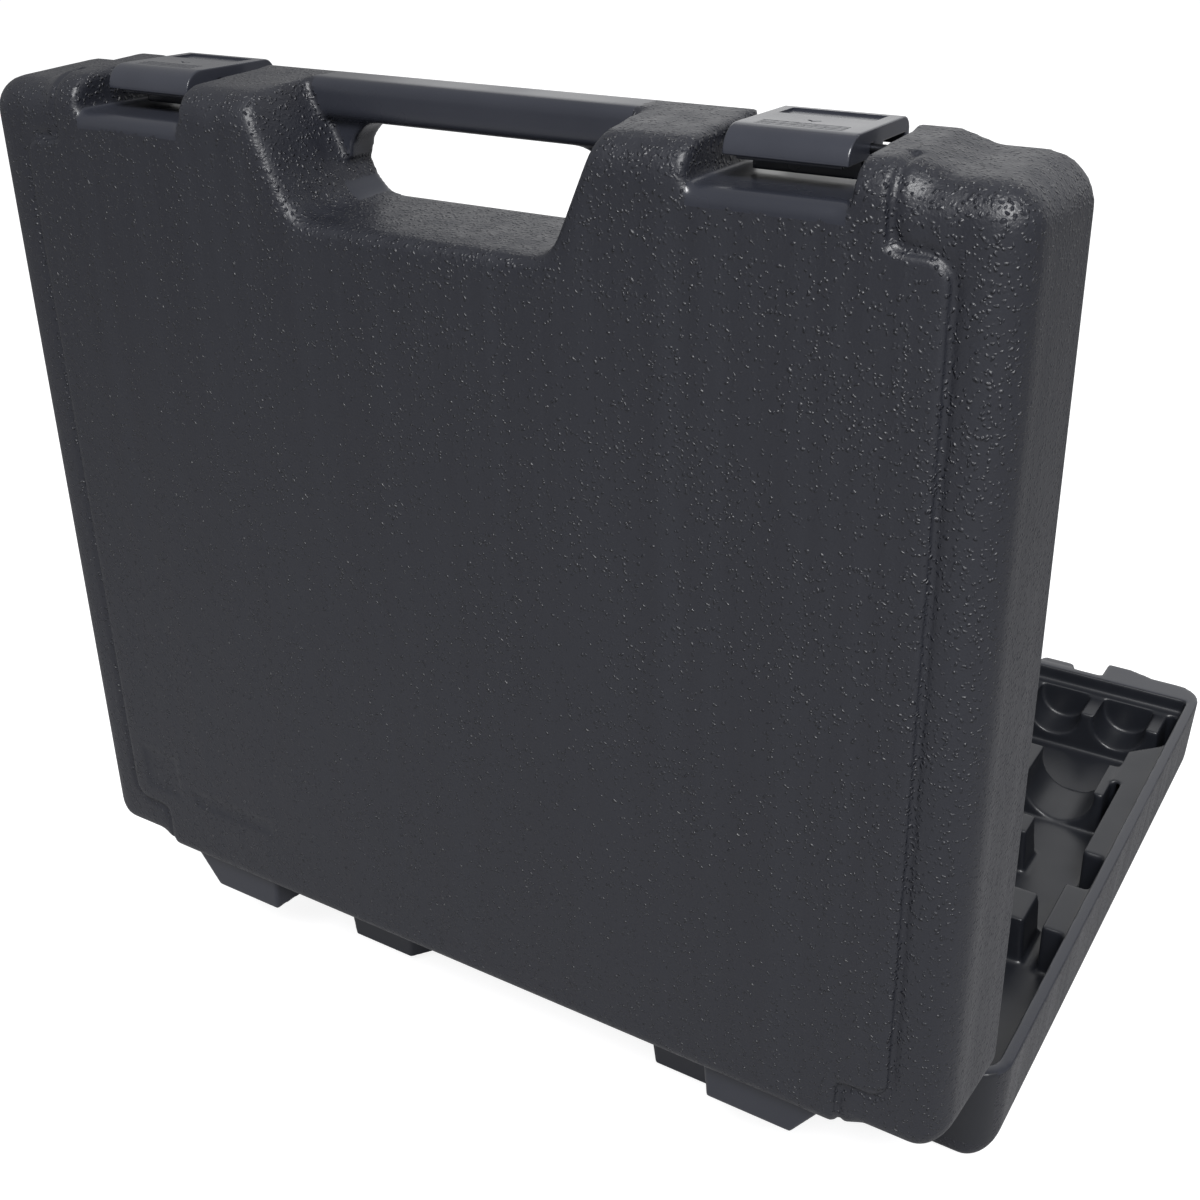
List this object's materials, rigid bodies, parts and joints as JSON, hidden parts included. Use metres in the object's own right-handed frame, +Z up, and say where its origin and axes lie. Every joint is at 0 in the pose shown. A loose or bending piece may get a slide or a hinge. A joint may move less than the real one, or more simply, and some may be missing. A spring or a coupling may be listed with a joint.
{
  "type": "hard tool case",
  "caption": "Open blow-moulded hard tool case: two half shells on spine hinges, two rocker latches, split carry handle and a moulded tool nest.",
  "frame": {"origin": "centre of the base's underside, on the surface it lies on", "axes": "+Z up, -Y towards the handle side of the base, +Y towards the hinge and the upright lid, +X to the right seen from the handle side"},
  "size_m": [0.399, 0.3887, 0.3894],
  "materials": {
    "grained_plastic": "fine spark-eroded grain",
    "smooth_plastic": "smooth satin",
    "latch_plastic": "smooth, slightly glossy",
    "steel": "bright drawn wire"
  },
  "bodies": {
    "base": {"base_shell": "grained_plastic", "base_tool_nest": "smooth_plastic", "base_cradles_left": "smooth_plastic", "base_cradles_right": "smooth_plastic", "base_large_cradles": "smooth_plastic", "base_rest_pads_left": "smooth_plastic", "base_rest_pads_right": "smooth_plastic", "base_handle": "smooth_plastic", "base_foot_left": "smooth_plastic", "base_foot_right": "smooth_plastic", "base_catch_left": "smooth_plastic", "base_catch_right": "smooth_plastic", "hinge_rod_left": "steel", "hinge_rod_right": "steel"},
    "lid": {"lid_shell": "grained_plastic", "lid_liner": "smooth_plastic", "lid_handle": "smooth_plastic", "lid_foot_left": "smooth_plastic", "lid_foot_right": "smooth_plastic", "latch_pin_left": "steel", "latch_pin_right": "steel"},
    "latch_left_body": {"latch_left": "latch_plastic"},
    "latch_right_body": {"latch_right": "latch_plastic"}
  },
  "joints": [
    {"name": "lid_hinge", "type": "hinge", "parent": "base", "child": "lid", "pos_m": [0, 0.17575, 0.04665], "axis": [1, 0, 0], "range_deg": [0, 90]},
    {"name": "latch_left_pivot", "type": "hinge", "parent": "lid", "child": "latch_left_body", "pos_m": [-0.1226, 0.1944, 0.3839], "axis": [-1, 0, 0], "range_deg": [-6, 12]},
    {"name": "latch_right_pivot", "type": "hinge", "parent": "lid", "child": "latch_right_body", "pos_m": [0.1226, 0.1944, 0.3839], "axis": [-1, 0, 0], "range_deg": [-6, 12]}
  ]
}
